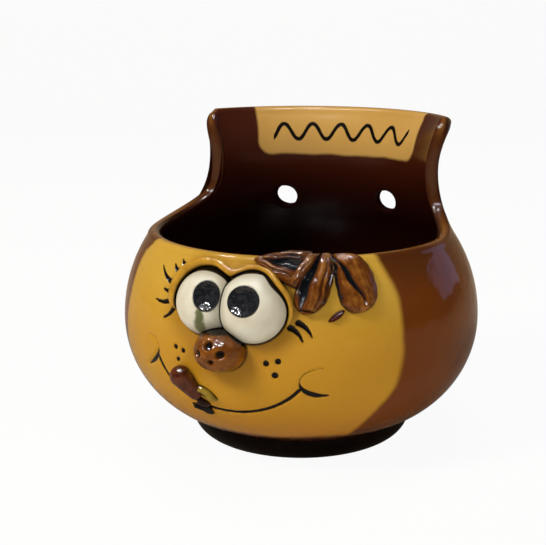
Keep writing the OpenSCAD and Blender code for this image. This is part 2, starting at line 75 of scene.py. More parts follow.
# outline of the pot, in millimetres
pot = dict(bellyR=65, bellyZ=45, waistR=49.6, height=116, lipH=19, lipFlare=7.2, rimZ=77, wall=4.4,
           footR=40.8, footH=9, floorT=5, bellyShare=0.558, faceTurn=-5 * deg)

flank, drop = pot["bellyR"] - pot["footR"], pot["bellyZ"] - pot["footH"]
lowArc = (flank ** 2 + drop ** 2) / (2 * flank)
waistZ = pot["height"] - pot["lipH"]
fall, rise = pot["bellyR"] - pot["waistR"], waistZ - pot["bellyZ"]
arcSum = (fall ** 2 + rise ** 2) / (2 * fall)
highArc = pot["bellyShare"] * arcSum
neckArc = arcSum - highArc
lipArc = (pot["lipFlare"] ** 2 + pot["lipH"] ** 2) / (2 * pot["lipFlare"])
turnLean = math.asin(rise / arcSum)
turnV = highArc * turnLean
waistV = turnV + neckArc * turnLean


def skin(v):
    # v is the length up the outline from the widest ring; four arcs end to end give radius, height and lean
    v = np.asarray(v, float)
    parts = [v < 0, v < turnV, v < waistV]
    lean = np.select(parts, [v / lowArc, v / highArc, turnLean - (v - turnV) / neckArc], -(v - waistV) / lipArc)
    co, si = np.cos(lean), np.sin(lean)
    r = np.select(parts, [pot["bellyR"] - lowArc + lowArc * co, pot["bellyR"] - highArc + highArc * co,
                          pot["waistR"] + neckArc - neckArc * co], pot["waistR"] + lipArc - lipArc * co)
    z = np.select(parts, [pot["bellyZ"] + lowArc * si, pot["bellyZ"] + highArc * si, waistZ - neckArc * si],
                  waistZ - lipArc * si)
    return r, z, lean


vTable = np.linspace(-lowArc * math.asin(drop / lowArc), waistV + lipArc * math.asin(pot["lipH"] / lipArc), 2400)
rTable, zTable, leanTable = skin(vTable)
rInside = rTable - pot["wall"] * np.cos(leanTable)
zInside = zTable - pot["wall"] * np.sin(leanTable)


def turned(r, angle, z):
    # a ring's radius, angle from the front and height to x, y, z
    r, angle, z = np.broadcast_arrays(r, angle, z)
    return np.stack([r * np.sin(angle), -r * np.cos(angle), z], -1)


def roundOf(columns):
    # angles once round, the last one short of the first
    return np.linspace(0, 2 * math.pi, columns, endpoint=False)


def onSkin(u, v, h):
    # u along the ring from the face's middle, v up the belly, h out of it
    r, z, lean = skin(v)
    return turned(r + h * np.cos(lean), pot["faceTurn"] + u / r, z + h * np.sin(lean))


def seatAt(u, v):
    # place on the belly and its directions to the right, up and out
    r, z, lean = skin(v)
    a = pot["faceTurn"] + u / r
    right = [math.cos(a), math.sin(a), 0]
    up = [-math.sin(lean) * math.sin(a), math.sin(lean) * math.cos(a), math.cos(lean)]
    out = [math.cos(lean) * math.sin(a), -math.cos(lean) * math.cos(a), math.sin(lean)]
    return turned(r, a, z), np.array([right, up, out])


def ringFaces(rows, columns):
    # quads between neighbouring rings, the last column joined to the first
    i, j = np.meshgrid(np.arange(rows - 1), np.arange(columns), indexing="ij")
    k = (j + 1) % columns
    return np.stack([i * columns + j, i * columns + k, (i + 1) * columns + k, (i + 1) * columns + j], -1)


def makePiece(name, points, faces, material, nodes, marks):
    # points in mm and faces to a smooth closed mesh in metres, with its float attributes
    mesh = bpy.data.meshes.new(name)
    mesh.from_pydata((points * mm).tolist(), [], faces)
    work = bmesh.new()
    work.from_mesh(mesh)
    bmesh.ops.recalc_face_normals(work, faces=work.faces)
    work.to_mesh(mesh)
    work.free()
    mesh.polygons.foreach_set("use_smooth", np.ones(len(mesh.polygons), bool))
    for key, values in marks.items():
        mesh.attributes.new(key, "FLOAT", "POINT").data.foreach_set("value", values.astype(np.float32))
    mesh.materials.append(material)
    piece = bpy.data.objects.new(name, mesh)
    bpy.context.scene.collection.objects.link(piece)
    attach(piece, "root")
    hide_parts(*nodes)
    print("piece", name, len(points), "points")


def fan(middle, ring):
    # triangles from one point to each stretch of a closed ring
    return np.stack([np.full(len(ring), middle), ring, np.roll(ring, -1)], -1).tolist()


def ringPiece(name, rows, material, slot, nodes, **marks):
    # rings of points closed at both ends by a fan round their middle; a mark is one value or one for each point
    n, m = rows.shape[:2]
    points = np.concatenate([rows.reshape(-1, 3), rows[[0, -1]].mean(1)])
    j = np.arange(m)
    faces = ringFaces(n, m).reshape(-1, 4).tolist() + fan(n * m, j[::-1]) + fan(n * m + 1, (n - 1) * m + j)
    marks = {key: np.broadcast_to(np.asarray(value, float), (n, m)) for key, value in marks.items()}
    marks = {key: np.concatenate([value.ravel(), value[[0, -1]].mean(1)]) for key, value in marks.items()}
    makePiece(name, points, faces, material, nodes, marks)


# finishes: what each word adds is a kind of node, its settings, the inputs given in order and the output that is used,
# and any other word is an operation of a Math node
recipes = dict(place=("TexCoord", {}, (), "Object"), height=("SeparateXYZ", {}, (0,), 2),
               reach=("VectorMath", dict(operation="LENGTH"), (0,), "Value"), mark=("Attribute", {}, (), "Fac"),
               noise=("TexNoise", {}, ("Vector", "Scale", "Detail"), 0),
               ease=("MapRange", dict(interpolation_type="SMOOTHSTEP"), (0, 1, 2, 3, 4), 0),
               mix=("Mix", dict(data_type="RGBA"), (0, 6, 7), 2),
               bump=("Bump", {}, ("Strength", "Distance", "Height"), 0),
               glow=("Emission", {}, ("Color", "Strength"), 0), layer=("MixShader", {}, (0, 1, 2), 0),
               camera=("LightPath", {}, (), "Is Camera Ray"), glossy=("LightPath", {}, (), "Is Glossy Ray"),
               through=("LightPath", {}, (), "Is Transmission Ray"))


def feed(socket, value):
    # an input takes the output that is linked to it, a hex colour or a plain value
    if isinstance(value, bpy.types.NodeSocket):
        socket.id_data.links.new(value, socket)
    else:
        socket.default_value = hexColour(value) if isinstance(value, str) else value


def addNode(tree, word, *inputs, **settings):
    # one node by its recipe, with its settings and links
    kind, fixed, sockets, output = recipes.get(word, ("Math", dict(operation=word), (0, 1, 2), 0))
    node = tree.nodes.new("ShaderNode" + kind)
    for key, value in {**fixed, **settings}.items():
        setattr(node, key, value)
    for key, value in zip(sockets, inputs):
        feed(node.inputs[key], value)
    return node.outputs[output]


def startFinish(name):
    # a new material, its shader, and addNode on its own tree
    material = bpy.data.materials.new(name)
    material.use_nodes = True
    return material, material.node_tree.nodes["Principled BSDF"], partial(addNode, material.node_tree)


def speckle(add, sizeMm, detail=2.0):
    # noise whose spots are about this size: the scale is spots to a metre
    return add("noise", add("place"), 1 / (sizeMm * mm), detail)


def over(add, value, ends, under, tone):
    # a tone laid over what is there, as the value goes from the first end to the second
    return add("mix", add("ease", value, *ends), under, tone)


peelShare = 0.06  # height of the peel as a share of its size


def gloss(add, shader, colour, rough, level, peelMm, peel, strength=1.0):
    # fired glaze: a clear glossy coat over the colour, with the faint peel that it dries with
    height = add("MULTIPLY", speckle(add, peelMm, 1.0), peelMm * mm * peelShare * peel)
    coated = {"Base Color": colour, "Roughness": rough, "Specular IOR Level": level,
              "Normal": add("bump", strength, 1.0, height)}
    for key, value in coated.items():
        feed(shader.inputs[key], value)


# the last two tones are a painted shade and a dark seam, partly pooled glaze and partly painted shade, round the
# pressed-on pieces
tones = dict(yellow="c08d26", yellowPale="c99f3c", yellowDeep="b77c24", brown="5f310d", amber="6c360a",
             brownDark="34170a", inside="431a0b", insideDark="1e0805", line="100c08", cream="d2a95f",
             creamDeep="bd9048", edge="8a5a24", cut="42200f", shade="7a4d0f", seam="241506")
patch = dict(middle=-4.7 * deg, halfAngle=44.3 * deg, low=97.6, corner=6, waveZ=106.4, wave=2.9, waveRun=12,
             waveHalf=0.7, waveHalfLength=32, waveEnd=0.4)
# the ends between which each tone comes in, in mm up the pot, in mm from an edge or in noise, and then the shares that
# it goes between where they aren't 0 and 1
# round the pressed-on pieces a broad painted shade and a dark seam, partly pooled glaze and partly painted shade, come
# in by the distance to them
coat = dict(pale=(44, 70), deep=(34, 12), dark=(58, 100), footDark=(17, 9), inside=(70, 108), slip=(-1.6, 1.4),
            patch=(-0.7, 0.8), flecks=(0.62, 0.8, 0, 0.5), clouds=(0.36, 0.6), turnIn=(0.45, 0.6), cut=(0.2, 0.8),
            thin=(1.1, 0.3), thinShare=(0.2, 0.8, 0.6, 0.1), paintedShade=(9, 0.5, 0, 0.46), seam=(0.65, 0.05, 0, 0.85),
            drawn=(0.38, 0.02), onPatch=(0.9, 0.6), rough=(0.5, 2, 0.1, 0.6), level=(0.5, 2, 0.3, 0), peels=(1.2, 0.4),
            cloudMm=30, fleckMm=1.6, wanderMm=14, peelMm=5, peel=0.6)


def potGlaze():
    # transparent brown glaze over red clay, a yellow slip under it on the face: wet shine, soft slip edges
    material, shader, add = startFinish("glazedEarthenware")
    slip, cream, inside, cut, crest, pool, across, line = [
        add("mark", attribute_name=key) for key in ("slip", "patch", "inner", "cut", "crest", "pool", "across", "line")]
    cloud, fleck = speckle(add, coat["cloudMm"]), speckle(add, coat["fleckMm"], 3.0)
    tall = add("MULTIPLY", add("height", add("place")), 1 / mm)
    wander = add("MULTIPLY_ADD", speckle(add, coat["wanderMm"]), 2.0, -1.0)
    yellow = over(add, tall, coat["pale"], tones["yellow"], tones["yellowPale"])
    yellow = over(add, tall, coat["deep"], yellow, tones["yellowDeep"])
    yellow = over(add, fleck, coat["flecks"], yellow, tones["yellowDeep"])
    brown = over(add, cloud, coat["clouds"], tones["brown"], tones["amber"])
    brown = over(add, tall, coat["dark"], brown, tones["brownDark"])
    brown = over(add, tall, coat["footDark"], brown, tones["brownDark"])
    outer = over(add, add("ADD", slip, wander), coat["slip"], brown, yellow)
    inner = over(add, tall, coat["inside"], tones["insideDark"], tones["inside"])
    inner = over(add, add("ADD", cream, wander), coat["patch"], inner,
                 add("mix", cloud, tones["cream"], tones["creamDeep"]))
    colour = over(add, inside, coat["turnIn"], outer, inner)
    colour = over(add, cut, coat["cut"], colour, tones["cut"])
    # glaze runs thin over every edge, so the clay shines through, less so on the cuts
    thin = add("ease", add("MULTIPLY_ADD", fleck, 0.5, crest), *coat["thin"])
    thin = add("MULTIPLY", thin, add("ease", cut, *coat["thinShare"]))
    colour = add("mix", thin, colour, tones["edge"])
    # and round the pressed-on pieces: a broad soft painted shade, and a dark seam that is partly pooled glaze and
    # partly painted shade
    colour = over(add, pool, coat["paintedShade"], colour, tones["shade"])
    colour = over(add, pool, coat["seam"], colour, tones["seam"])
    # wavy line on the patch: height less a sine of the place across, over the length of its slope
    turn = add("MULTIPLY", across, 2 * math.pi / patch["waveRun"])
    slope = add("MULTIPLY", add("COSINE", turn), patch["wave"] * 2 * math.pi / patch["waveRun"])
    wave = add("MULTIPLY_ADD", add("SINE", turn), patch["wave"], patch["waveZ"])
    gap = add("ABSOLUTE", add("SUBTRACT", tall, wave))
    gap = add("DIVIDE", gap, add("SQRT", add("MULTIPLY_ADD", slope, slope, 1.0)))
    ends = add("ease", add("ABSOLUTE", across), patch["waveHalfLength"] - patch["waveEnd"],
               patch["waveHalfLength"] + patch["waveEnd"], -patch["waveHalf"], far - patch["waveHalf"])
    gap = add("ADD", add("ADD", ends, gap), add("ease", inside, *coat["onPatch"]))
    drawn = add("MULTIPLY_ADD", fleck, 0.3, add("MINIMUM", line, gap))
    colour = over(add, drawn, coat["drawn"], colour, tones["line"])
    # the inside is smoother than the outside, and the bores of the hanging holes are dull
    rough, level, peels = [add("ease", inside, *coat[key]) for key in ("rough", "level", "peels")]
    gloss(add, shader, colour, rough, level, coat["peelMm"], coat["peel"], peels)
    return material


def plainGlaze(name, base, other, rough, sizeMm, peel=0.5, level=0.35, peelMm=2.5):
    # one coloured glaze that breaks between two tones as its thickness changes, dark where it pools and where painted
    # shade lies between the pressed-on pieces
    material, shader, add = startFinish(name)
    colour = over(add, speckle(add, sizeMm, 3.0), (0.38, 0.66), base, other)
    # near black where glaze pools, and as painted shade in the gaps between pressed-on pieces
    colour = over(add, add("mark", attribute_name="pool"), (1.0, 0.1), colour, "0b0704")
    gloss(add, shader, colour, rough, level, peelMm, peel)
    return material


def eyeGlaze():
    # white tin glaze: milky, glossy, a little warm where it lies thin, with one green run; painted shade under the
    # eyelid roll and a dark seam of glaze and painted shade where it meets other pieces
    material, shader, add = startFinish("tinGlaze")
    pool, run = [add("mark", attribute_name=key) for key in ("pool", "run")]
    colour = over(add, speckle(add, 9), (0.3, 0.7), "e0decf", "d3ccb8")
    run = add("MULTIPLY_ADD", speckle(add, 2.4, 3.0), 2.4, run)
    colour = over(add, run, (1.7, 0.5, 0, 0.9), colour, "4a5414")
    # painted shade from the eyelid roll and the neighbouring pieces, soft and broad
    colour = over(add, pool, (4.5, 0.5, 0, 0.4), colour, "8d876c")
    # a near black seam of dark glaze and painted shade right along them
    colour = over(add, pool, (0.6, 0.1), colour, "120d08")
    gloss(add, shader, colour, rough=0.3, level=0.12, peelMm=6, peel=0.3)
    return material


def foldGlaze(name, deep, body, ridge, level=0.5):
    # glaze over pressed leaves: light where it is thin on the ridges, dark where it pools in the folds
    material, shader, add = startFinish(name)
    fold = add("MULTIPLY_ADD", speckle(add, 3.2, 3.0), 0.9, add("mark", attribute_name="fold"))
    colour = over(add, fold, (0.55, 1.15), deep, body)
    colour = over(add, fold, (1.2, 1.6), colour, ridge)
    gloss(add, shader, colour, rough=0.13, level=level, peelMm=1.7, peel=3.0)
    return material


glazeOfPot = potGlaze()
glazeOfEyes = eyeGlaze()
glazeOfFolds = foldGlaze("pooledGlaze", "12171c", "5e3009", "966020")
glazeOfRoll = plainGlaze("yellowSlipGlaze", "c3932f", "b18126", rough=0.13, sizeMm=5, peel=1.8, level=0.5, peelMm=2)
glazeOfNose = plainGlaze("brownGlaze", "683709", "864e12", rough=0.13, sizeMm=4, peel=3.2, level=0.6, peelMm=1.7)
glazeOfPupils = plainGlaze("blueBlackGlaze", "16181c", "27292e", rough=0.11, sizeMm=1.4, peel=3, level=0.6, peelMm=1.4)
glazeOfFoot = plainGlaze("darkFootGlaze", "0a0302", "120604", rough=0.4, sizeMm=8, level=0.1)
glazeOfBud = plainGlaze("redBrownGlaze", "431c10", "643118", rough=0.13, sizeMm=4, peel=1.8, level=0.6, peelMm=1.8)
glazeOfSepals = foldGlaze("blackGlaze", "050505", "0c0b0b", "1c191c")
glazeOfUmber = foldGlaze("umberGlaze", "100b09", "33211a", "6a5444")
glazeOfStalk = foldGlaze("oliveSlipGlaze", "1a1408", "927a2c", "b79a48")
glazeOfCrumb = foldGlaze("darkRedGlaze", "140504", "340e08", "4c180e", level=0.2)
print("stage: finishes made")

# places on the face: u to the right of its middle, v up the belly from the widest ring
# hood: how high dark glaze and painted shade stand on a ball where the eyelid roll hangs over it
eyes = dict(left=dict(place=(-7.0, 17.8), w=21.6, out=8.6, gaze=24 * deg, lift=8.5 * deg, stretch=0.84, hood=0),
            right=dict(place=(9.7, 17.4), w=23.2, out=9.3, gaze=-6 * deg, lift=6 * deg, stretch=1.05, hood=4.9))
for side in eyes.values():
    # the ball whose cap has this width and reach, and its middle over the belly
    side["ballR"] = (side["w"] ** 2 / 4 + side["out"] ** 2) / (2 * side["out"])
    side["ballLift"] = side["out"] - side["ballR"]
    side["spot"], side["axes"] = seatAt(*side["place"])
    side["ball"] = side["spot"] + side["ballLift"] * side["axes"][2]
nose = dict(place=(0, 2.95), w=17, h=14.6, out=11.15, tilt=1 * deg, poreDepth=1.8,
            pores=((0, 0.42, 1.45), (-0.42, 0.02, 1.25), (0.49, 0.06, 1.4), (0.15, -0.29, 0.85)))
noseSpot, noseAxes = seatAt(*nose["place"])
tiltUp = math.cos(nose["tilt"]) * noseAxes[1] - math.sin(nose["tilt"]) * noseAxes[2]
tiltOut = math.sin(nose["tilt"]) * noseAxes[1] + math.cos(nose["tilt"]) * noseAxes[2]
noseTurn = np.array([noseAxes[0], tiltUp, tiltOut])


def noseDistance(p):
    # how far outside the nose's ellipsoid, roughly in mm
    q = (p - noseSpot) @ noseTurn.T / np.array([nose["w"] / 2, nose["h"] / 2, nose["out"]])
    return (np.linalg.norm(q, axis=-1) - 1) * nose["h"] / 2


def pressFlat(local, lowest, piece):
    # what lies below backFrom is squeezed, so that the lowest point comes to back
    z, start = local[..., 2], piece["backFrom"]
    squeeze = (piece["back"] - start) / (lowest - start)
    local[..., 2] = np.where(z < start, start + (z - start) * squeeze, z)


def ballDistance(p, side):
    # how far outside an eye's ball
    return np.linalg.norm(p - side["ball"], axis=-1) - side["ballR"]


lines = dict(mouth=((-27.9, -4.3), (-16.4, -26.8), (10.9, -24.7), (25.1, -9.9)),
             rightCheek=((33.4, -2.1), (22.8, -2.3), (22.6, -12.6), (34.2, -12)),
             leftCheek=((-33, 2.3), (-26.4, 2.2), (-25.6, -4), (-35, -9)),
             lashes=(((-30, 26.3), (-23.3, 21.8)), ((-23.6, 28), (-21.2, 25.8)), ((-20.4, 30.1), (-18.8, 28.4)),
                     ((-26.8, 19.1), (-22.2, 19.1)), ((-30.5, 14.9), (-21.4, 16.4)), ((-25.3, 9.7), (-20.2, 14.3)),
                     ((26.6, 6.8), (22.3, 11.3)), ((29.5, 8.2), (24.7, 12.9))),
             mouthHalf=0.58, rightHalf=(0.1, 0.9, 0.65), leftHalf=(0.05, 0.7, 0.5), steps=22, lashSteps=6, lashTip=0.3,
             lashRoot=1.0, lashBow=0.1,
             freckles=((-18.7, 1.0, 0.85), (-15.4, 0.2, 0.85), (-17.8, -3.2, 0.8), (15.0, -0.5, 1.0), (18.9, 0.3, 1.0),
                       (17.8, -4.5, 1.1)))


def strokeDistance(u, v, path, halves):
    # nearest stretch of a path of points, with the half width at each point
    return np.minimum.reduce([segmentDistance(u, v, a, b, p, q)
                              for a, b, p, q in zip(path, path[1:], halves, halves[1:])])


def lineDistance(u, v, soft):
    # nearest incised line of the face: mouth, cheeks, lashes and freckles; soft widens the faint left cheek
    s = np.linspace(0, 1, lines["steps"])
    found = [strokeDistance(u, v, bezier(lines["mouth"], s), lines["mouthHalf"] + 0 * s)]
    for name, wider in (("right", 0), ("left", soft)):
        # a cheek starts thin, swells past its middle and fades at its end
        thin, swell, fade = lines[name + "Half"]
        halves = thin + swell * smooth((s - 0.4) / 0.4) - fade * smooth((s - 0.84) / 0.16) + wider
        found.append(strokeDistance(u, v, bezier(lines[name + "Cheek"], s), halves))
    s = np.linspace(0, 1, lines["lashSteps"])
    for tip, root in lines["lashes"]:
        # each stroke bows a little to one side and grows to its root
        d = np.subtract(root, tip)
        bow = lines["lashBow"] * np.array([d[1], -d[0]])
        path = tip + d * s[:, None] + bow * (4 * s * (1 - s))[:, None]
        found.append(strokeDistance(u, v, path, lines["lashTip"] + (lines["lashRoot"] - lines["lashTip"]) * s))
    for a, b, r in lines["freckles"]:
        found.append(np.hypot(u - a, v - b) - r)
    return np.minimum.reduce(found)


# height of the slip's lower edge, and the angle of its right and left edge at a few heights
slipEdge = dict(foot=14, z=(11, 21, 27.6, 33.4, 45, 58, 63, 68, 72, 77.5),
                right=(35, 40.4, 44.1, 47, 48.7, 49, 48.6, 47.6, 46, 44),
                left=(-47, -52, -54.5, -55, -53, -51.8, -52, -52.3, -51.8, -45.5))


def slipDistance(angle, r, z):
    # how far inside the yellow slip: nearest of its right, left and lower edge
    right = np.interp(z, slipEdge["z"], slipEdge["right"]) * deg
    left = np.interp(z, slipEdge["z"], slipEdge["left"]) * deg
    return np.minimum(np.minimum((right - angle) * r, (angle - left) * r), z - slipEdge["foot"])


def patchMarks(angle, z):
    # place across the cream patch, and how far inside it: a rounded box open at the top
    across = (np.where(angle > 0, angle - math.pi, angle + math.pi) - patch["middle"]) * pot["waistR"]
    half = patch["halfAngle"] * pot["waistR"]
    qx, qz = np.abs(across) - half + patch["corner"], patch["low"] - z + patch["corner"]
    box = patch["corner"] - np.hypot(np.maximum(qx, 0), np.maximum(qz, 0)) - np.minimum(np.maximum(qx, qz), 0)
    return box, across


# shell: one skin from under the floor up the outside, over the rim and down the inside
shell = dict(rightCut=15.5, leftCut=21.6, rightSweep=26, leftSweep=33, sweepH=11, cornerR=12, cornerTurn=68 * deg,
             frontStep=0.5, rightDense=36, leftDense=46, sideSteps=24, sweepSteps=20, uprightSteps=14, cornerSteps=12,
             lipSteps=40, lipGap=1.5, backShares=(17, 15, 11, 58), baseZ=66, lowSteps=12, faceLow=-31, upperRows=32,
             crestRows=8, innerRows=18, cutInset=1.3, grooveDepth=0.6, grooveSoft=1.1, holeX=21, holeZ=80.4, holeR=4.25,
             holeLip=0.2, holeReach=0.95, holeBlend=1.6, underRings=(12, 28, 40.3), coveTop=4, coveIn=(2.2, 5.5, 10),
             coveUp=(2, 0.6, 0), floorRings=(26, 12), crestPower=2.1, cutPower=4.5, boreStart=1.4, faceReach=60)


def rimSide(cut, sweep, denseTo):
    # stations of the top edge from the front middle to the back middle: base angle, plain angle, y, z, its
    # outward direction in side view and how far it is a flat cut
    rimR = np.interp(pot["rimZ"], zTable, rTable)
    topR = np.interp(pot["height"], zTable, rTable)
    toe = math.acos((sweep - cut) / rimR)
    dense = np.linspace(0, denseTo * deg, round(denseTo * deg * pot["bellyR"] / shell["frontStep"]))
    front = np.concatenate([dense, np.linspace(dense[-1], toe, shell["sideSteps"] + 1)[1:]])
    t = np.arange(1, shell["sweepSteps"] + 1) / shell["sweepSteps"] * math.pi / 2
    sweepY, sweepZ = cut - sweep + sweep * np.sin(t), pot["rimZ"] + shell["sweepH"] * (1 - np.cos(t))
    tilt = np.arctan2(shell["sweepH"] * np.sin(t), sweep * np.cos(t))
    lowZ, highZ = pot["rimZ"] + shell["sweepH"], pot["height"] - shell["cornerR"]
    upZ = lowZ + (highZ - lowZ) * np.arange(1, shell["uprightSteps"] + 1) / shell["uprightSteps"]
    a = shell["cornerTurn"] * np.arange(1, shell["cornerSteps"] + 1) / shell["cornerSteps"]
    cornerY, cornerZ = cut + shell["cornerR"] * (1 - np.cos(a)), highZ + shell["cornerR"] * np.sin(a)
    lipStart = math.acos(-(cornerY[-1] + shell["lipGap"]) / topR)
    lip = np.linspace(lipStart, math.pi, shell["lipSteps"] + 1)
    y = np.concatenate([-rimR * np.cos(front), sweepY, np.full(len(upZ), cut), cornerY, -topR * np.cos(lip)])
    z = np.concatenate([np.full(len(front), pot["rimZ"]), sweepZ, upZ, cornerZ, np.full(len(lip), pot["height"])])
    lean = np.concatenate([np.zeros(len(front)), tilt, np.full(len(upZ), math.pi / 2), math.pi / 2 - a,
                           np.zeros(len(lip))])
    flat = np.concatenate([np.zeros(len(front)), smooth(t / (math.pi / 2)), np.ones(len(upZ)),
                           1 - smooth(a / a[-1]), np.zeros(len(lip))])
    r = np.interp(z, zTable, rTable)
    plain = np.arccos(np.clip(-y / r, -1, 1))
    plain[:len(front)], plain[-len(lip):] = front, lip
    base = plain.copy()
    rest = len(base) - len(front)
    weight = np.concatenate([np.full(len(part), share / len(part))
                             for part, share in zip((t, upZ, a, lip), shell["backShares"])])
    base[-rest:] = toe + (math.pi - toe) * np.cumsum(weight) / weight.sum()
    return base, plain, y, z, lean, flat


rightSide = rimSide(shell["rightCut"], shell["rightSweep"], shell["rightDense"])
leftSide = rimSide(shell["leftCut"], shell["leftSweep"], shell["leftDense"])
signed = (-1, -1, 1, 1, 1, 1)
base, plain, edgeY, edgeZ, edgeLean, flat = [np.concatenate([s * b[:0:-1], a[:-1]])
                                             for s, a, b in zip(signed, rightSide, leftSide)]
sideOf = np.sign(base) + (base == 0)
inset = pot["wall"] / 2 + (shell["cutInset"] - pot["wall"] / 2) * flat
insetY, insetZ = edgeY + inset * np.sin(edgeLean), edgeZ - inset * np.cos(edgeLean)


def cutAngle(radii, heights):
    # angle at which the flat cut meets a skin of the wall, eased into the plain angle where the edge is round
    flatAngle = np.arccos(np.clip(-insetY / np.interp(insetZ, heights, radii), -1, 1)) * sideOf
    return plain + (flatAngle - plain) * flat


outAngle, inAngle = cutAngle(rTable, zTable), cutAngle(rInside, zInside)
columns = len(base)
vBase, vBaseIn = np.interp(shell["baseZ"], zTable, vTable), np.interp(shell["baseZ"], zInside, vTable)
lowV = np.concatenate([np.linspace(vTable[0], shell["faceLow"], shell["lowSteps"]),
                       np.arange(shell["faceLow"] + shell["frontStep"], vBase, shell["frontStep"])])
up = np.linspace(0, 1, shell["upperRows"] + 1)[:, None]
upperV = vBase + (np.interp(insetZ, zTable, vTable) - vBase) * up
innerV = vBaseIn + (np.interp(insetZ, zInside, vTable) - vBaseIn) * up[::-1]
upperAngle, innerAngle = base + (outAngle - base) * up, base + (inAngle - base) * up[::-1]
outV = np.concatenate([np.repeat(lowV[:, None], columns, 1), upperV])
outAngles = np.concatenate([np.repeat(base[None], len(lowV), 0), upperAngle])
outR, outZ, outLean = skin(outV)
faceU = (outAngles - pot["faceTurn"]) * outR
onFace = np.abs(faceU) < shell["faceReach"]
lineMark = np.where(onFace, lineDistance(faceU, outV, 0), far)
softMark = np.where(onFace, lineDistance(faceU, outV, 0.5), far)
sink = shell["grooveDepth"] * smooth((0.5 - softMark) / shell["grooveSoft"])
outer = turned(outR - sink * np.cos(outLean), outAngles, outZ - sink * np.sin(outLean))
inner = turned(np.interp(innerV, vTable, rInside), innerAngle, np.interp(innerV, vTable, zInside))

holeCells = []
for side in (-1, 1):
    # the square block of cells round a hanging hole is pulled to its circle, cells outside it follow less and less
    topRows = len(lowV) + np.arange(shell["upperRows"] + 1)
    line = np.argmin(np.abs(outZ[topRows][:, 0] - shell["holeZ"]))
    atBack = outer[topRows[line], :, 1] > 0
    x = np.where(atBack, outer[topRows[line], :, 0], 999)
    reach = shell["holeR"] * shell["holeReach"]
    j0, j1 = sorted(np.argmin(np.abs(x - side * shell["holeX"] + shift)) for shift in (-reach, reach))
    i0 = np.argmin(np.abs(outZ[topRows][:, j0] - shell["holeZ"] + reach))
    i1 = np.argmin(np.abs(outZ[topRows][:, j0] - shell["holeZ"] - reach))
    holeCells.append((i0, i1, j0, j1))
    for rows, radii, heights in ((outer[topRows], rTable, zTable), (inner[::-1], rInside, zInside)):
        px, pz = rows[..., 0], rows[..., 2]
        x0, x1, z0, z1 = px[:, [j0]], px[:, [j1]], pz[i0, j0], pz[i1, j0]
        a, b = (2 * px - x0 - x1) / np.abs(x1 - x0), (2 * pz - z0 - z1) / (z1 - z0)
        ring = np.maximum(np.abs(a), np.abs(b)) + 1e-9
        long = np.hypot(a, b) + 1e-9
        pull = (1 - smooth((ring - 1) / shell["holeBlend"])) * (rows[..., 1] > 0)
        wide = (shell["holeR"] + shell["holeLip"]) * ring
        nx = px + (side * shell["holeX"] + wide * a / long - px) * pull
        nz = pz + (shell["holeZ"] + wide * b / long - pz) * pull
        ny = np.sqrt(np.maximum(np.interp(nz, heights, radii) ** 2 - nx ** 2, 0))
        moved = np.stack([nx, np.where(pull > 0, ny, rows[..., 1]), nz], -1)
        if radii is rTable:
            outer[topRows] = moved
        else:
            inner[:] = moved[::-1]

# crest: from the outer to the inner edge over a half round, or a flatter one on the cuts
turn = (np.pi * np.arange(1, shell["crestRows"]) / shell["crestRows"])[:, None]
power = 2 / (shell["crestPower"] + (shell["cutPower"] - shell["crestPower"]) * flat)
swing = np.sign(np.cos(turn)) * np.abs(np.cos(turn)) ** power
lift = np.sin(turn) ** power
middle, spread = (outer[-1] + inner[0]) / 2, (outer[-1] - inner[0]) / 2
ahead = np.stack([np.zeros(columns), -np.sin(edgeLean), np.cos(edgeLean)], -1)
crest = middle + swing[..., None] * spread + (lift * inset)[..., None] * ahead

under = turned(np.array(shell["underRings"])[:, None], base, pot["footH"])
floorZ = pot["footH"] + pot["floorT"]
wallV = np.linspace(vBaseIn, np.interp(floorZ + shell["coveTop"], zInside, vTable), shell["innerRows"])[1:]
wallR, wallZ = np.interp(wallV, vTable, rInside), np.interp(wallV, vTable, zInside)
bowlR = np.concatenate([wallR, wallR[-1] - np.array(shell["coveIn"]), shell["floorRings"]])
bowlZ = np.concatenate([wallZ, floorZ + np.array(shell["coveUp"]), [floorZ, floorZ]])
bottom = turned(bowlR[:, None], base, bowlZ[:, None])
rows = np.concatenate([under, outer, crest, inner, bottom])
counts = [len(under), len(outer), len(crest), len(inner), len(bottom)]
starts = np.cumsum([0] + counts)


def stacked(underValue, outerValue, crestValue, innerValue, bottomValue):
    # one value per point, part by part up the outside and down the inside
    parts = (underValue, outerValue, crestValue, innerValue, bottomValue)
    return np.concatenate([np.broadcast_to(p, (n, columns)) for p, n in zip(parts, counts)])


angles = stacked(base, outAngles, (outAngle + inAngle) / 2, innerAngle, base)
radius = np.hypot(rows[..., 0], rows[..., 1])
across = np.abs(np.broadcast_to(turn / np.pi - 0.5, crest.shape[:2])) * pot["wall"]
nearTop = np.linalg.norm(outer - outer[-1], axis=-1), np.linalg.norm(inner - inner[0], axis=-1)
# distance to the eyes and nose, where glaze pools and painted shade is laid
poolMark = np.minimum.reduce([ballDistance(rows, eyes["left"]), ballDistance(rows, eyes["right"]), noseDistance(rows)])
patchBox, patchAcross = patchMarks(angles, rows[..., 2])
inwards = stacked(0, 0, smooth(turn / np.pi * 1.6 - 0.3), 1, 1)
points = rows.reshape(-1, 3)
marks = dict(slip=slipDistance(angles, radius, rows[..., 2]), line=stacked(far, lineMark, far, far, far),
             patch=np.where(inwards > 0.3, patchBox, -far), across=patchAcross, inner=inwards,
             cut=stacked(0, 0, flat * np.ones_like(turn), 0, 0), pool=np.where(inwards > 0.3, far, poolMark),
             crest=stacked(far, pot["wall"] / 2 + nearTop[0], across, pot["wall"] / 2 + nearTop[1], far))

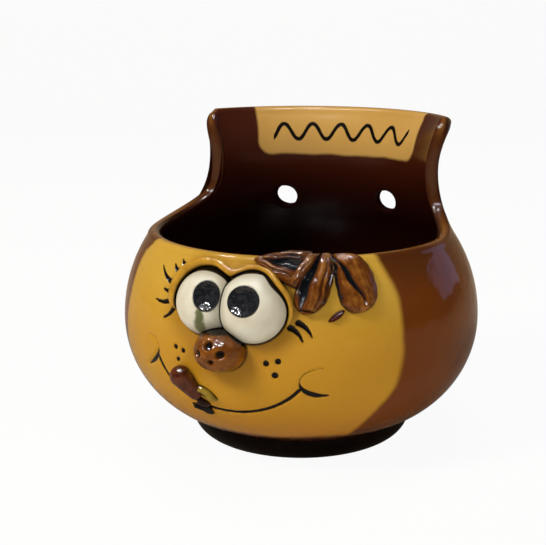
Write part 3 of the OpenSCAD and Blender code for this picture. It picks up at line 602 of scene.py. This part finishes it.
faces = ringFaces(len(rows), columns)
keep = np.ones(faces.shape[:2], bool)
loops = []
for i0, i1, j0, j1 in holeCells:
    # both skins lose the block, and its border is walked once round
    walk = np.array([(i0, j) for j in range(j0, j1)] + [(i, j1) for i in range(i0, i1)]
                    + [(i1, j) for j in range(j1, j0, -1)] + [(i, j0) for i in range(i1, i0, -1)])
    outRow, inRow = starts[1] + len(lowV) + walk[:, 0], starts[3] + shell["upperRows"] - walk[:, 0]
    keep[starts[1] + len(lowV) + i0:starts[1] + len(lowV) + i1, j0:j1] = False
    keep[starts[3] + shell["upperRows"] - i1:starts[3] + shell["upperRows"] - i0, j0:j1] = False
    loops.append((outRow * columns + walk[:, 1], inRow * columns + walk[:, 1]))
faces = faces[keep].tolist()
extra = [points]
count = len(points)
for side, (outLoop, inLoop) in zip((-1, 1), loops):
    # the bore: from the outer rim inwards on the hole's own circle to the inner rim
    n = len(outLoop)
    centre = np.array([side * shell["holeX"], 0, shell["holeZ"]])
    shrink = np.array([1, 0, 1]) * shell["holeR"] / (shell["holeR"] + shell["holeLip"]) + np.array([0, 1, 0])
    boreIn = np.array([0, shell["holeLip"] * shell["boreStart"], 0])
    a = centre + (points[outLoop] - centre) * shrink - boreIn
    b = centre + (points[inLoop] - centre) * shrink + boreIn
    extra += [a, b]
    ring = [outLoop, count + np.arange(n), count + n + np.arange(n), inLoop]
    for p, q in zip(ring, ring[1:]):
        faces += np.stack([p, q, np.roll(q, -1), np.roll(p, -1)], -1).tolist()
    count += 2 * n
ends = np.stack([rows[0].mean(0), rows[-1].mean(0)])
points = np.concatenate(extra + [ends])
j = np.arange(columns)
faces += fan(count, j[::-1]) + fan(count + 1, (len(rows) - 1) * columns + j)
more = len(points) - rows.shape[0] * columns
fill = dict(slip=-far, line=far, patch=-far, across=99, inner=2, cut=0, pool=far, crest=far)
marks = {key: np.concatenate([value.ravel(), np.full(more, fill[key])]) for key, value in marks.items()}
marks["inner"][-2:] = 0, 1
makePiece("potShell", points, faces, glazeOfPot, ("bowl", "back_wall"), marks)

# foot: a turned ring with a full quarter round at its edge
foot = dict(edge=8.46, steps=14, columns=160, lap=0.5, inner=(10, 24))
bend = np.linspace(0, math.pi / 2, foot["steps"])
footR = np.concatenate([foot["inner"], pot["footR"] - foot["edge"] * (1 - np.sin(bend)),
                        [pot["footR"], foot["inner"][1]]])
footZ = np.concatenate([[0, 0], foot["edge"] * (1 - np.cos(bend)), [pot["footH"] + foot["lap"]] * 2])
rings = turned(footR[:, None], roundOf(foot["columns"]), footZ[:, None])
ringPiece("footRing", rings, glazeOfFoot, "dark_glaze", ("foot",), pool=far)

# eyes: balls pressed on the belly, each with a round hollow where it looks
# lidBand to hoodFall set how high the dark glaze and painted shade stand on a ball under the eyelid roll; hoodAt and
# hoodWide also shape the roll
eye = dict(pupilR=5, depth=2.4, edge=0.45, fill=1.7, dish=1.1, play=0.08, back=-2.9, backFrom=-1.6, rings=56,
           columns=110, floorRings=(1.5, 3.5), brimSteps=4, brimSink=0.9, ovalFade=0.7, lidBand=3.2, lidFrom=-15,
           lidRise=110, lidTo=215, lidFall=40, lidBlur=0.4, hoodAt=44, hoodWide=36, hoodFall=0.8,
           drip=((3.4, -2.6), (1.8, -9.2), 0.9, 1.9), middleR=0.4, pupilRings=16, underStep=6, underLift=0.02)


def eyePair(name, side, other, run):
    # a profile turned round the line of sight, then the pool of glaze in its hollow
    spot, axes, ballR, ballLift = side["spot"], side["axes"], side["ballR"], side["ballLift"]
    look = np.array([math.sin(side["gaze"]) * math.cos(side["lift"]), math.sin(side["lift"]),
                     math.cos(side["gaze"]) * math.cos(side["lift"])])
    across = np.cross([0, 1, 0], look)
    across /= np.linalg.norm(across)
    basis = np.array([across, np.cross(look, across), look])
    spin = roundOf(eye["columns"])
    brim = math.asin((eye["pupilR"] + eye["edge"]) / ballR)
    polar = np.linspace(brim, math.pi * nearPole, eye["rings"])
    bend = np.arange(eye["brimSteps"]) / eye["brimSteps"] * math.pi / 2
    floor, top = ballR - eye["depth"], ballR * math.cos(brim)
    # profile from the hollow's middle out: floor, wall, rounded brim, then the ball
    ro = np.concatenate([eye["floorRings"], [eye["pupilR"]], eye["pupilR"] + eye["edge"] * (1 - np.cos(bend)),
                         ballR * np.sin(polar)])
    ax = np.concatenate([[floor, floor, floor], top + eye["edge"] * (np.sin(bend) - eye["brimSink"]),
                         ballR * np.cos(polar)])
    # the hollow is an oval, which fades to the round ball
    fade = 1 - smooth((polar - brim) / eye["ovalFade"])
    oval = 1 + (side["stretch"] - 1) * np.concatenate([np.ones(len(ro) - len(polar)), fade])

    def ringsOf(r, z, wide):
        # rings round the line of sight, r wide and z along it, stretched sideways
        x = (r * wide)[:, None] * np.cos(spin)
        y = r[:, None] * np.sin(spin)
        # a point pushed sideways keeps its distance from the ball's middle
        depth = np.sign(z)[:, None] * np.sqrt(np.maximum((r ** 2 + z ** 2)[:, None] - x ** 2 - y ** 2, 0.01))
        local = x[..., None] * basis[0] + y[..., None] * basis[1] + depth[..., None] * basis[2]
        local[..., 2] += ballLift
        return local

    local = ringsOf(ro, ax, oval)
    pressFlat(local, ballLift - ballR, eye)
    rings = spot + local @ axes
    pool = np.minimum(ballDistance(rings, other), noseDistance(rings))
    # under the eyelid roll the dark glaze and the painted shade of the roll stand up the ball, higher where the roll
    # hangs over it
    around = np.arctan2(local[..., 1], local[..., 0]) / deg
    around = np.where(around < -90, around + 360, around)
    glazeAndShadeBand = smooth((around - eye["lidFrom"]) / eye["lidRise"]) * smooth((eye["lidTo"] - around) / eye["lidFall"])
    glazeAndShadeBand = eye["lidBand"] * glazeAndShadeBand
    glazeAndShadeBand = np.maximum(glazeAndShadeBand, side["hood"] * np.exp(-eye["hoodFall"] * ((around - eye["hoodAt"]) / eye["hoodWide"]) ** 2))
    pool = np.minimum(pool, local[..., 2] - glazeAndShadeBand + eye["lidBlur"])
    pool = np.where(ro[:, None] < eye["pupilR"] + 0.05, far, pool)
    drip = segmentDistance(local[..., 0], local[..., 1], *eye["drip"]) if run else far
    ringPiece(name + "Eye", rings, glazeOfEyes, "cream_glaze", (name + "_eye",), pool=pool, run=drip)
    # pupil: a dished pool of dark glaze in the hollow
    pr = np.linspace(eye["middleR"], eye["pupilR"] - eye["play"], eye["pupilRings"])
    dish = floor + eye["fill"] - eye["dish"] * (1 - (pr / pr[-1]) ** 2)
    under = pr[::-eye["underStep"]]
    pr, pz = np.concatenate([pr, under]), np.concatenate([dish, np.full(len(under), floor + eye["underLift"])])
    rings = spot + ringsOf(pr, pz, np.full(len(pr), side["stretch"])) @ axes
    ringPiece(name + "Pupil", rings, glazeOfPupils, "black_glaze", (name + "_pupil",), pool=far)


eyePair("left", eyes["left"], eyes["right"], True)
eyePair("right", eyes["right"], eyes["left"], False)

# nose: a ball of clay with four pricked pores
noseGrid = dict(rings=90, columns=140, back=-2.6, backFrom=-0.6, poreLip=0.3, poreSoft=0.8, eyeShade=(1.5, 0.8),
                poreShade=(0.5, 1.6), topShade=(0.88, 6))
polar = np.linspace(0.01, nearPole, noseGrid["rings"])[:, None] * math.pi
spin = roundOf(noseGrid["columns"])
unit = np.stack([np.sin(polar) * np.cos(spin), np.sin(polar) * np.sin(spin), np.cos(polar) + 0 * spin], -1)
half = np.array([nose["w"] / 2, nose["h"] / 2, nose["out"]])
poreGap = np.minimum.reduce([np.hypot((unit[..., 0] - a) * half[0], (unit[..., 1] - b) * half[1]) - r
                             for a, b, r in nose["pores"]])
poreGap = np.where(unit[..., 2] > 0, poreGap, far)
poreIn = (noseGrid["poreLip"] - poreGap) / noseGrid["poreSoft"]
local = unit * half * (1 - (nose["poreDepth"] * smooth(poreIn) / nose["out"]))[..., None]
pressFlat(local, -nose["out"], noseGrid)
rings = noseSpot + local @ noseTurn
# dark glaze and painted shade where it meets the eyes, in the pores and along its top
pool = [ballDistance(rings, eyes[name]) - shade for name, shade in zip(("left", "right"), noseGrid["eyeShade"])]
pool.append((poreGap + noseGrid["poreShade"][0]) * noseGrid["poreShade"][1])
pool.append((noseGrid["topShade"][0] - unit[..., 1]) * noseGrid["topShade"][1])
ringPiece("noseBall", rings, glazeOfNose, "red_brown_glaze", ("nose",), pool=np.minimum.reduce(pool))


# rolls and leaves pressed on the belly
def along(path):
    # unit direction to the left of a path of u, v points
    d = np.gradient(path, axis=0)
    d /= np.linalg.norm(d, axis=1)[:, None]
    return np.stack([-d[:, 1], d[:, 0]], -1)


lid = dict(leftR=12.75, rightR=12.85, start=199, end=-26, turn=75, dip=3.2, halfW=1.95, endHalfW=0.8, top=3.6,
           taper=0.6, sink=1.2, hoodIn=2.7, hoodUp=3.2, endInset=0.006, endPower=14, roundPower=0.75, steps=40,
           bridgeSteps=14, columns=36, shade=(1.0, -0.35))
a0 = np.linspace(lid["start"], lid["turn"], lid["steps"]) * deg
a1 = np.linspace(180 - lid["turn"], lid["end"], lid["steps"]) * deg
leftArc = np.add(eyes["left"]["place"], lid["leftR"] * np.stack([np.cos(a0), np.sin(a0)], -1))
# over the right eye's outer half the roll hoods the ball: nearer its middle and higher
hood = np.exp(-((a1 / deg - eye["hoodAt"]) / eye["hoodWide"]) ** 2)
rightR = (lid["rightR"] - lid["hoodIn"] * hood)[:, None]
rightArc = np.add(eyes["right"]["place"], rightR * np.stack([np.cos(a1), np.sin(a1)], -1))
low = [(leftArc[-1][0] + rightArc[0][0]) / 2, leftArc[-1][1] - lid["dip"]]
bridge = bezier([leftArc[-1], low, low, rightArc[0]], np.linspace(0, 1, lid["bridgeSteps"])[1:-1])
path = np.concatenate([leftArc, bridge, rightArc])
s = np.linspace(0, 1, len(path))[:, None]
swell = np.sqrt(1 - np.abs((1 - 2 * lid["endInset"]) * (2 * s - 1)) ** lid["endPower"])
spin = roundOf(lid["columns"])
wide = (lid["halfW"] + (lid["endHalfW"] - lid["halfW"]) * s) * swell
t = wide * np.cos(spin)
hood = np.concatenate([np.zeros(len(path) - len(hood)), hood])[:, None]
full = lid["top"] * (1 - lid["taper"] * s) + lid["hoodUp"] * hood + lid["sink"]
crown = np.sign(np.sin(spin)) * np.abs(np.sin(spin)) ** lid["roundPower"]
h = full * swell * (1 + crown) / 2 - lid["sink"]
p = path[:, None] + along(path)[:, None] * t[..., None]
rings = onSkin(p[..., 0], p[..., 1], h)
# dark glaze and painted shade along the balls, less and less towards its outer end
pool = np.minimum(ballDistance(rings, eyes["left"]), ballDistance(rings, eyes["right"]))
pool = pool - np.interp(s, (0, 1), lid["shade"])
ringPiece("eyelidRoll", rings, glazeOfRoll, "yellow_glaze", ("eyelid_roll",), pool=pool)


press = dict(wander=0.05, wanderRate=17, spindle=0.35, veinShare=0.05, crown=0.3, edgeH=0.3, tipShare=0.2, least=0.2,
             ragged=((0.012, 47, 0), (0.016, 19, 1)), underShare=0.96, foldShare=0.6)


def leaf(name, node, slot, material, left, right, thick, creases, base=0.0, sink=0.8, steps=90, across=56, root=0.6,
         hems=()):
    # a sheet between two curved edges, s from its root to its tip and t across it; a crease runs from its first to its
    # second place across, with width, depth and the stretch of s that it covers; a hem is a fold across the sheet
    s = np.linspace(0, nearPole, steps)[:, None]
    left, right = bezier(left, s[:, 0]), bezier(right, s[:, 0])
    t = np.sin(np.linspace(-1, 1, across) * math.pi / 2)[None]
    tip = np.minimum(1, (1 - s) / press["tipShare"]) ** 0.5 * (root + (1 - root) * smooth(s / press["tipShare"]))
    brim = (1 - t ** 4) ** 0.5
    cuts = 0 * s * t
    for a, b, w, d, s0, s1 in creases:
        # each crease is a spindle: widest and deepest half way, running out at both ends
        belly = np.sin(math.pi * np.clip((s - s0) / (s1 - s0), 0, 1))
        off = t - a - (b - a) * s + press["wander"] * np.sin(press["wanderRate"] * s)
        wide = w * (press["spindle"] + (1 - press["spindle"]) * belly)
        cuts = cuts + d * belly ** 0.5 * np.exp(-(off / wide) ** 2)
    cuts = cuts + sum(d * np.exp(-((s - s0 - c * t) / w) ** 2) for s0, c, w, d in hems)
    # fine veins along the sheet
    cuts = cuts + thick * press["veinShare"] * (1 + np.sin(13 * t + 2.2 * np.sin(6 * s)) * np.sin(7 * t + 3 * s))
    top = base + (press["edgeH"] + thick * (1 - press["crown"] * t * t) - cuts) * brim * tip
    fold = (1 - cuts / (press["foldShare"] * thick)) * brim + 0 * s
    mid, reach = (left + right)[:, None] / 2, (right - left)[:, None] / 2
    # its edges are a little ragged, and its underside is a little narrower
    reach = reach * (1 + sum(size * np.sin(rate * s + start) for size, rate, start in press["ragged"]))[..., None]
    p = np.concatenate([mid + reach * t[..., None], mid + reach * (t[:, ::-1] * press["underShare"])[..., None]], 1)
    h = np.concatenate([np.maximum(top, base - sink + press["least"]), np.full_like(top, base - sink)], 1)
    rings = onSkin(p[..., 0], p[..., 1], h)
    ringPiece(name, rings, material, slot, (node,), fold=np.concatenate([fold, 0 * fold], 1))


pressed = dict(slot="red_brown_glaze", material=glazeOfFolds)
forelock = (
    dict(pressed, name="forelockLeaf", node="forelock_leaf", thick=2.5,
         left=((31.4, 34.9), (34.4, 31), (35.2, 14.7), (43.6, 15.2)),
         right=((38.8, 34.7), (44, 35), (57.5, 16.2), (43.8, 15.2)),
         creases=((-1.0, 0.65, 0.12, 1.9, 0.02, 0.78), (-0.98, -0.9, 0.12, 0.8, -0.2, 0.7),
                  (0.3, 0.8, 0.05, 0.3, 0.1, 0.6))),
    dict(pressed, name="forelockCurl", node="forelock_curl", thick=3.6, hems=((0.86, 0.03, 0.022, 1.5),),
         left=((26.6, 35), (22.4, 30), (19.2, 16.5), (26.8, 15.3)),
         right=((31.5, 35), (34.5, 30), (36.5, 16), (27, 15.3)),
         creases=((-0.35, -0.62, 0.27, 3.2, -0.1, 0.84), (0.42, 0.4, 0.06, 0.9, 0.06, 0.86),
                  (0.8, 0.72, 0.1, 1.3, -0.1, 0.9))),
    dict(pressed, name="forelockSmallCurl", node="forelock_small_curl", thick=3.9, across=40,
         left=((23.4, 34.9), (22.4, 31.6), (19.2, 28), (20.4, 24.4)),
         right=((27.6, 34.8), (26.8, 31), (24.8, 26.4), (20.8, 24.2)),
         creases=((0.3, 0.2, 0.07, 0.5, 0.1, 0.8), (-0.95, -0.95, 0.2, 1.6, -0.2, 1.2))),
    dict(pressed, name="forelockPleat", node="forelock_pleat", thick=2.9, base=1.2, sink=2.4,
         left=((22.6, 23.7), (16, 25.4), (11, 29), (7.4, 32.3)),
         right=((25.4, 35.7), (18.4, 37.4), (11, 34.8), (7.3, 32.8)),
         creases=((0.12, 0.0, 0.34, 2.5, -0.2, 0.72), (0.62, 0.5, 0.08, 0.9, -0.1, 0.8),
                  (-0.55, -0.5, 0.05, 0.8, -0.1, 0.85))),
    dict(name="forelockCrumb", node="forelock_crumb", slot="dark_glaze", material=glazeOfCrumb, thick=1.2, steps=30,
         across=20, root=0.2, left=((34.2, 13.5), (35.0, 15.2), (37, 16.9), (39.1, 16.7)),
         right=((34.4, 12.9), (36.4, 12.7), (38.8, 14), (39.3, 16.3)), creases=((-0.35, -0.35, 0.15, 0.5, 0.1, 0.9),)))
for piece in forelock:
    leaf(**piece)

# bud: a drop with a round upper and a narrow lower end, held in the corner of the mouth
bud = dict(place=(-13, -10.5), run=7.5, r=3.6, tipR=2.5, lift=2.5, tipLift=1.1, lean=28.6 * deg, columns=64,
           upSteps=22, downSteps=16)
slope = math.asin((bud["r"] - bud["tipR"]) / bud["run"])
dip = math.asin((bud["lift"] - bud["tipLift"]) / bud["run"])
pole = nearPole * math.pi / 2
upBend, downBend = np.linspace(pole, -slope, bud["upSteps"]), np.linspace(-slope, -pole, bud["downSteps"])
# half outline: arc round the upper end, straight tangent, arc round the lower end
budR = np.concatenate([bud["r"] * np.cos(upBend), bud["tipR"] * np.cos(downBend)])
budZ = np.concatenate([bud["run"] / 2 + bud["r"] * np.sin(upBend), -bud["run"] / 2 + bud["tipR"] * np.sin(downBend)])
spot, axes = seatAt(*bud["place"])
axisUp = np.array([-math.sin(bud["lean"]) * math.cos(dip), math.cos(bud["lean"]) * math.cos(dip), math.sin(dip)])
axisSide = np.cross(axisUp, [0, 0, 1])
axisSide /= np.linalg.norm(axisSide)
axisOut = np.cross(axisSide, axisUp)
spin = roundOf(bud["columns"])
local = (budR[:, None, None] * (np.cos(spin)[:, None] * axisSide + np.sin(spin)[:, None] * axisOut)
         + budZ[:, None, None] * axisUp)
local[..., 2] += (bud["lift"] + bud["tipLift"]) / 2
rings = spot + local @ axes
ringPiece("budDrop", rings, glazeOfBud, "red_brown_glaze", ("bud",), pool=far)
small = dict(steps=40, across=32)
budLeaves = (
    dict(small, name="budStalk", node="bud_stalk", slot="yellow_glaze", material=glazeOfStalk, thick=1.9,
         left=((-10.8, -13.6), (-8.4, -14.6), (-6, -16.4), (-3.4, -16.2)),
         right=((-10.6, -11.2), (-8, -10.6), (-5, -12.4), (-3.3, -15.8)),
         creases=((-0.35, -0.3, 0.3, 1.6, -0.1, 0.75), (0.5, 0.3, 0.1, 0.7, 0.2, 0.9))),
    dict(small, name="budUpperSepal", node="bud_upper_sepal", slot="black_glaze", material=glazeOfUmber, thick=1.7,
         left=((-11.8, -18.4), (-10, -19.4), (-8.8, -19.6), (-7, -19.2)),
         right=((-11.4, -16), (-9.8, -16.2), (-8, -17.4), (-6.8, -18.6)), creases=((0.2, 0.1, 0.2, 0.7, 0.1, 0.9),)),
    dict(small, name="budLowerSepal", node="bud_lower_sepal", slot="black_glaze", material=glazeOfSepals, thick=1.5,
         root=0.3, left=((-14.9, -20.9), (-12, -21.6), (-10, -21.4), (-7.5, -24.2)),
         right=((-14.9, -20.2), (-11, -19.4), (-6.8, -17.8), (-6.8, -23.8)), creases=((0.1, 0.1, 0.2, 0.6, 0.1, 0.9),)))
for piece in budLeaves:
    leaf(**piece)
print("stage: pieces made")

# floor and backdrop: one pale sheet that bends up behind the pot
scene = bpy.context.scene
view = dict(azimuth=18.2 * deg, elevation=14.33 * deg, distance=425.8, aimZ=50, focalPx=1146, widthPx=546,
            shiftX=-28.28, shiftY=24.73)
sweepSheet = dict(front=1.6, back=1.1, bend=0.5, top=1.6, half=2.2)
bend = np.linspace(0, math.pi / 2, 16)
depth = np.concatenate([[-sweepSheet["front"], 0], sweepSheet["back"] + sweepSheet["bend"] * np.sin(bend),
                        [sweepSheet["back"] + sweepSheet["bend"]]])
height = np.concatenate([[0, 0], sweepSheet["bend"] * (1 - np.cos(bend)), [sweepSheet["top"]]])
wide = np.array([-1, 1]) * sweepSheet["half"]
ca, sa = math.cos(view["azimuth"]), math.sin(view["azimuth"])
sheet = np.stack([wide * ca - depth[:, None] * sa, wide * sa + depth[:, None] * ca, height[:, None] + 0 * wide], -1)
mesh = bpy.data.meshes.new("paleSheet")
i = np.arange(len(depth) - 1)
mesh.from_pydata(sheet.reshape(-1, 3).tolist(), [], np.stack([2 * i, 2 * i + 1, 2 * i + 3, 2 * i + 2], -1).tolist())
mesh.polygons.foreach_set("use_smooth", np.ones(len(mesh.polygons), bool))
paleSheet = bpy.data.objects.new("paleSheet", mesh)
scene.collection.objects.link(paleSheet)
# matt white paper: it shows as near white to the eye and still takes the shadow; to glossy rays it glows as a painted
# warm reflection, with painted shade near the pot, whose shade lies there
paper = dict(seen=0.94, glossShare=0.7, glossNear=0.1, glossFar=0.45, shade=(0.1, 0.26))
material, shader, add = startFinish("whitePaper")
for key, value in (("Base Color", "f2f2f0"), ("Roughness", 0.9), ("Specular IOR Level", 0.0)):
    feed(shader.inputs[key], value)
glossy = add("glossy")
seen = add("MULTIPLY", add("MAXIMUM", add("camera"), add("through")), paper["seen"])
seen = add("MULTIPLY_ADD", glossy, paper["glossShare"], seen)
dim = add("MULTIPLY_ADD", add("ease", add("reach", add("place")), *paper["shade"]),
          paper["glossFar"] - paper["glossNear"], paper["glossNear"] - 1)
glow = add("glow", add("mix", glossy, "ffffff", "dcb482"), add("MULTIPLY_ADD", glossy, dim, 1.0))
feed(material.node_tree.nodes["Material Output"].inputs["Surface"], add("layer", seen, shader.outputs[0], glow))
mesh.materials.append(material)

# camera where the photograph was taken from
back = Vector((sa * math.cos(view["elevation"]), -ca * math.cos(view["elevation"]), math.sin(view["elevation"])))
lens = bpy.data.cameras.new("camera")
lens.sensor_width = 36
lens.lens = view["focalPx"] / view["widthPx"] * lens.sensor_width
lens.shift_x, lens.shift_y = view["shiftX"] / view["widthPx"], view["shiftY"] / view["widthPx"]
camera = bpy.data.objects.new("camera", lens)
scene.collection.objects.link(camera)
camera.location = Vector((0, 0, view["aimZ"] * mm)) + back * view["distance"] * mm
camera.rotation_mode = "QUATERNION"
camera.rotation_quaternion = (-back).to_track_quat("-Z", "Y")
scene.camera = camera

# light: a soft key from the upper left, a weak fill, and small lamps for the sparks on the glaze
lamps = (dict(name="key", at=(-0.6, -0.75, 0.85), size=(0.3, 0.3), watts=10.6, tint="fff6e8", shine=False, lit=True),
         dict(name="fill", at=(0.3, -0.9, 0.2), size=(0.6, 0.6), watts=1.6, tint="fff8f0", shine=False, lit=True),
         dict(name="side", at=(0.95, -0.15, 0.4), size=(0.5, 0.5), watts=2.0, tint="fff8f0", shine=False, lit=True),
         dict(name="above", at=(0.0, 0.05, 1.1), size=(0.5, 0.5), watts=3.4, tint="ffffff", shine=False, lit=True),
         dict(name="window", at=(0.72, 0.6, 0.27), size=(0.46, 0.3), watts=0.33, tint="c0c4ff", shine=True, lit=False))
spark = dict(z=1.12, size=(0.04, 0.03), watts=4.0, tint="ffffff", shine=True, lit=False)
sparkPlaces = ((-0.38, -0.3), (0.02, -0.5), (0.36, -0.3), (-0.1, 0.02), (-0.22, -0.62), (0.2, -0.12), (-0.6, -0.05))
lamps += tuple(dict(spark, name="spark%d" % i, at=(x, y, spark["z"])) for i, (x, y) in enumerate(sparkPlaces))
for lamp in lamps:
    light = bpy.data.lights.new(lamp["name"], "AREA")
    light.shape = "RECTANGLE"
    (light.size, light.size_y), light.energy, light.color = lamp["size"], lamp["watts"], hexColour(lamp["tint"])[:3]
    item = bpy.data.objects.new(lamp["name"], light)
    item.location = lamp["at"]
    item.rotation_mode = "QUATERNION"
    item.rotation_quaternion = (Vector((0, 0, 0.05)) - item.location).to_track_quat("-Z", "Y")
    item.visible_glossy, item.visible_diffuse = lamp["shine"], lamp["lit"]
    scene.collection.objects.link(item)
# the room is dim grey, and white only where the camera looks past the sheet
room = dict(dim=0.14, seen=0.96, gloss=0.09)
world = bpy.data.worlds.new("room")
scene.world = world
world.use_nodes = True
add = partial(addNode, world.node_tree)
strength = add("MULTIPLY_ADD", add("camera"), room["seen"] - room["dim"], room["dim"])
strength = add("MULTIPLY_ADD", add("glossy"), room["gloss"] - room["dim"], strength)
sky = world.node_tree.nodes["Background"]
feed(sky.inputs["Color"], add("mix", add("camera"), "d8d4d0", "ffffff"))
feed(sky.inputs["Strength"], strength)
scene.view_settings.view_transform = "Standard"
print("stage: light and camera set")
